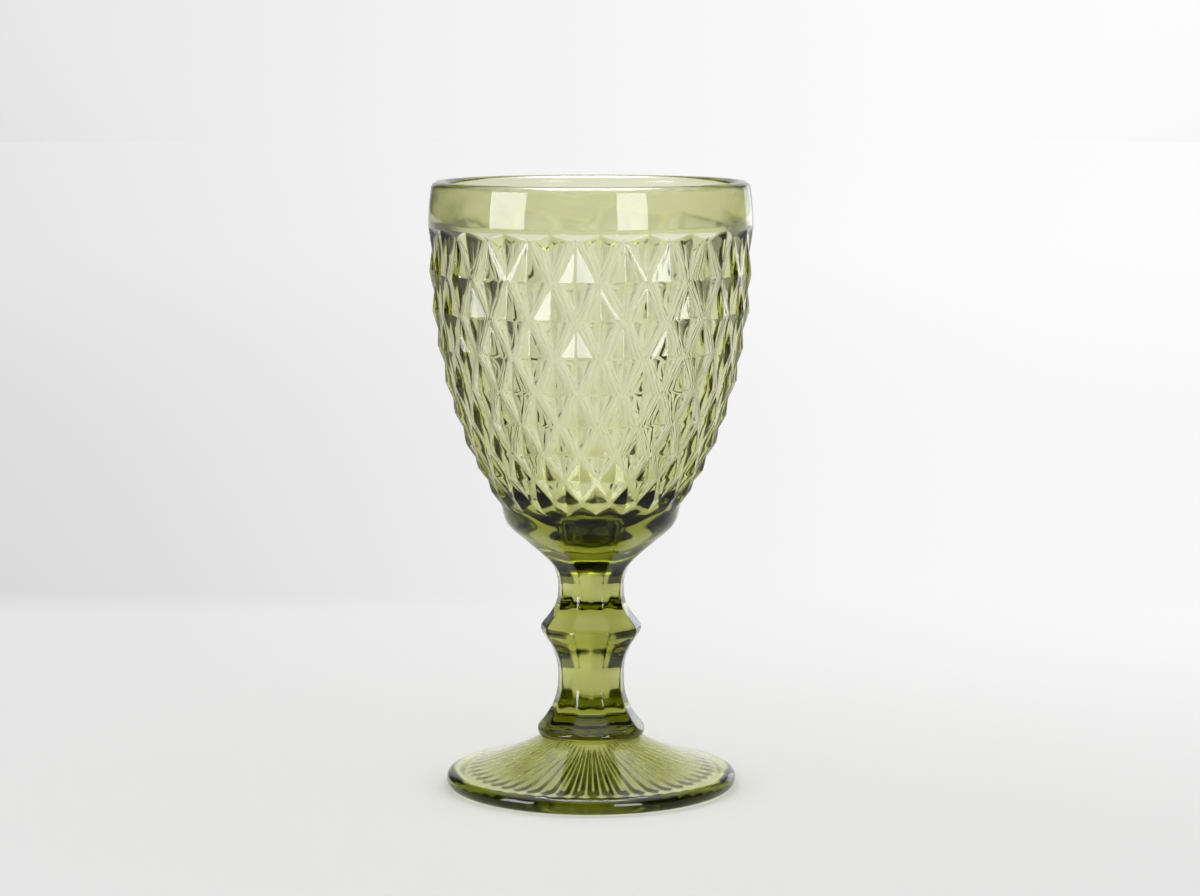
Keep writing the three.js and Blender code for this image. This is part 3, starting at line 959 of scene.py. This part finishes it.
# Spans between two tones, in parts of a direction of length 1.
SIDES_SPAN = (-0.7, 0.5)  # to the right
ROOM_SPAN = (-0.1, 0.4)  # to the back
WALL_SPAN = (0.9, 0.99)  # to the back, and a little upwards
CEILING_SPAN = (0.6, 0.9)  # upwards

SOFTBOX_LIGHT = 17
WINDOW_LIGHT = 1.5
PANEL_LIGHT = 22
LAMP_DISTANCE = 1.2
LAMP_COLOUR = (0.85, 0.87, 1)


# %% Room
def room_tone(right, back, up):
    """The tone in a direction: the dark room runs into the sides, the wall is added towards the
    back and the ceiling upwards."""
    side = right.ramp(SIDES_SPAN, LEFT_LIGHT, RIGHT_LIGHT)
    # Seen from the camera, the wall's tones meet those at the far edge of the floor.
    fan = (FLOOR_RADIUS + CAMERA_DISTANCE) / (FLOOR_RADIUS + FAN_START)
    wall = wall_falloff_tone(right * fan, back) - side + WALL_LIFT
    ceiling = up.ramp(CEILING_SPAN, 0, CEILING_LIGHT)
    ahead = back + up * WALL_RISE
    return back.ramp(ROOM_SPAN, ROOM_LIGHT, side) + ahead.ramp(WALL_SPAN, 0, wall) + ceiling


def make_world():
    """The floor gets plain light from all round. The eye, and what the glass reflects and refracts,
    find the room."""
    world = bpy.data.worlds.new("studio")
    bpy.context.scene.world = world
    world.use_nodes = True
    world.node_tree.nodes.clear()
    graph = Wire(world.node_tree)
    right, back, up = graph.split(graph.node("ShaderNodeTexCoord").outputs["Generated"])
    path = graph.node("ShaderNodeLightPath")
    seen = graph.wire(path.outputs["Is Camera Ray"])
    for kind in ("Is Glossy Ray", "Is Transmission Ray"):
        seen = seen.at_least(path.outputs[kind])
    light = graph.node("ShaderNodeBackground", Color=(1, 1, 1, 1), Strength=1.0)
    tone = room_tone(right, back, up)
    room = graph.node("ShaderNodeBackground", Color=(1, 1, 1, 1), Strength=tone)
    mix = graph.node("ShaderNodeMixShader", slots=(seen, light.outputs[0], room.outputs[0]))
    graph.node("ShaderNodeOutputWorld", Surface=mix.outputs[0])


make_world()


# %% Lamps
def make_lamp(name, azimuth, size, middle, radiance, distance=LAMP_DISTANCE, tilt=90):
    """A panel at that azimuth, right of the camera where positive, with its middle at that height.
    It is upright and faces the goblet at a tilt of 90 degrees, and faces down at 0."""
    width, height = size
    lamp = bpy.data.lights.new(name, "AREA")
    lamp.shape = "RECTANGLE"
    lamp.size, lamp.size_y = size
    lamp.energy = radiance * math.pi * width * height
    lamp.color = LAMP_COLOUR
    holder = bpy.data.objects.new(name, lamp)
    bpy.context.collection.objects.link(holder)
    a = math.radians(azimuth)
    holder.location = (distance * math.sin(a), -distance * math.cos(a), middle)
    holder.rotation_euler = (math.radians(tilt), 0, a)
    holder.visible_camera = holder.visible_diffuse = holder.visible_transmission = False
    print(name, "with", round(lamp.energy, 1), "W")


make_lamp("softbox_left", azimuth=-60, size=(0.6, 0.9), middle=0.2, radiance=SOFTBOX_LIGHT)
make_lamp("softbox_right", azimuth=29, size=(0.45, 0.9), middle=0.2, radiance=SOFTBOX_LIGHT)
make_lamp("window_behind", azimuth=150, size=(0.4, 0.5), middle=0.1, radiance=WINDOW_LIGHT)
make_lamp(
    "softbox_above", azimuth=180, size=(0.8, 0.9), middle=1.3, radiance=PANEL_LIGHT,
    distance=0.15, tilt=0,
)

# %% [markdown]
# ## Finish
#
# The picture is given through the plain Standard view, so that colours come out as they are
# written.

# %% Settings and the last line
bpy.context.scene.view_settings.view_transform = "Standard"
